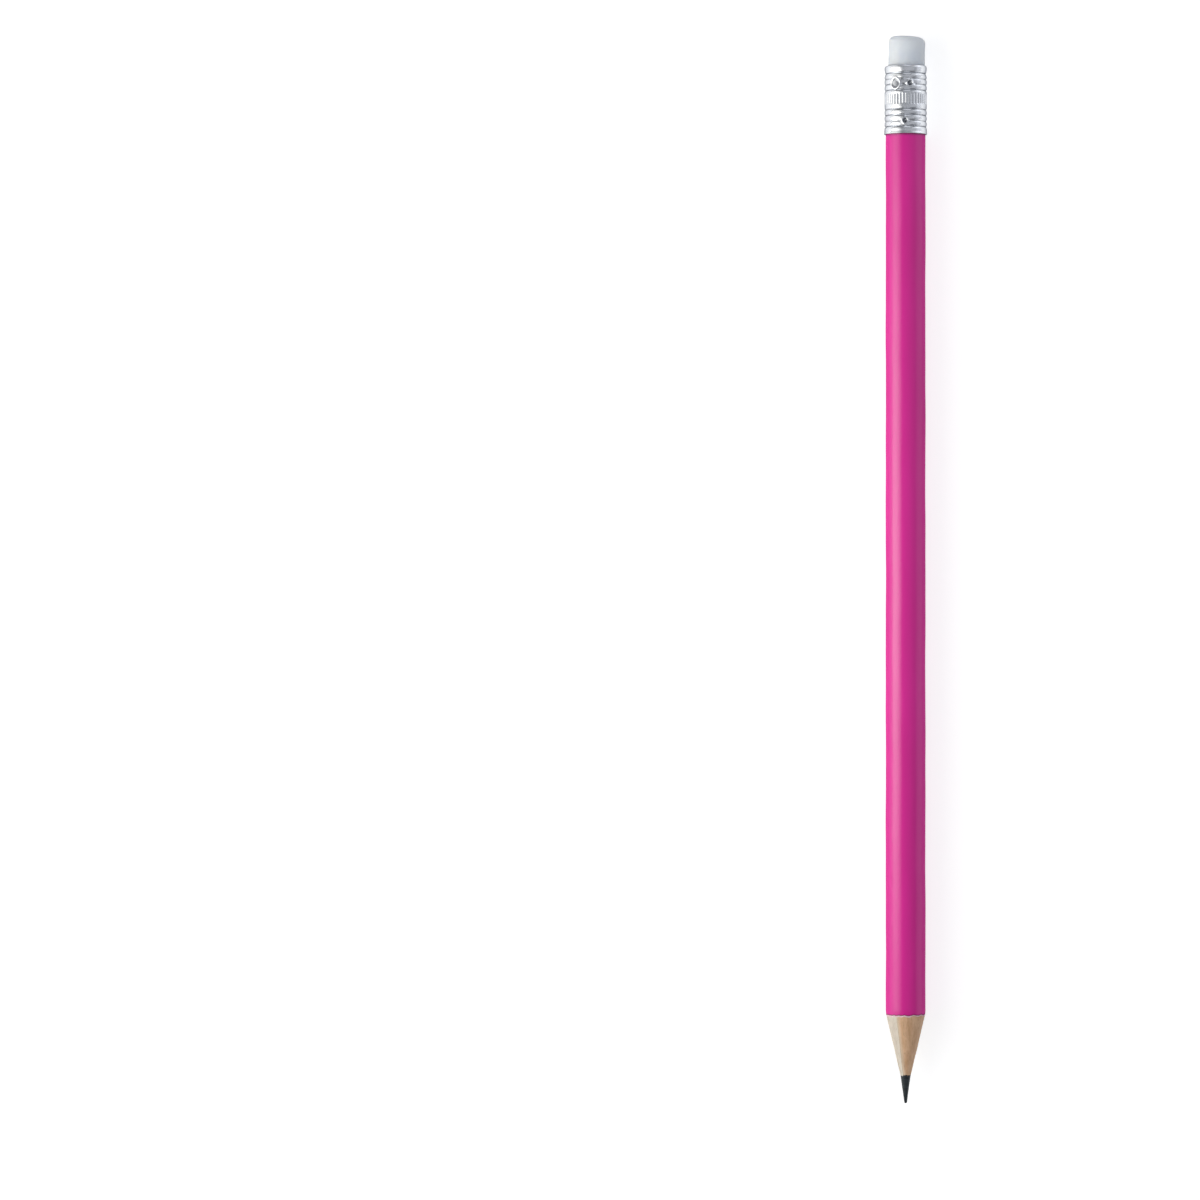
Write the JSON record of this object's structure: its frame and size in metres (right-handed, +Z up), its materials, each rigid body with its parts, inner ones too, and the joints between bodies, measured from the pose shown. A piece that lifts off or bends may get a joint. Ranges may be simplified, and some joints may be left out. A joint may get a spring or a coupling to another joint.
{
  "type": "pencil with eraser",
  "caption": "Round painted wooden pencil, sharpened to a graphite point, with an embossed metal ferrule and a white rubber eraser. For writing and rubbing out.",
  "frame": {"origin": "on the surface the pencil lies on, under the middle of its length", "axes": "+Y along the pencil towards the eraser, +Z up, +X to the right when seen from above with the eraser away from the viewer"},
  "size_m": [0.0076, 0.1882, 0.0076],
  "materials": {
    "graphite": "fired graphite and clay, dark grey with a soft sheen",
    "wood_right": "bare, fine-grained, freshly sharpened",
    "wood_left": "bare, fine-grained, freshly sharpened, a paler slat",
    "glue": "dried wood glue",
    "primer": "white undercoat",
    "paint": "magenta gloss paint",
    "ferrule_metal": "bright pressed sheet",
    "eraser_rubber": "matt white, faintly cool"
  },
  "bodies": {
    "root": {"graphite_core": "graphite", "casing_half_right": "wood_right", "casing_half_left": "wood_left", "glue_line_front": "glue", "glue_line_back": "glue", "undercoat": "primer", "colour_coat": "paint", "ferrule": "ferrule_metal", "eraser_plug": "eraser_rubber"}
  },
  "joints": []
}
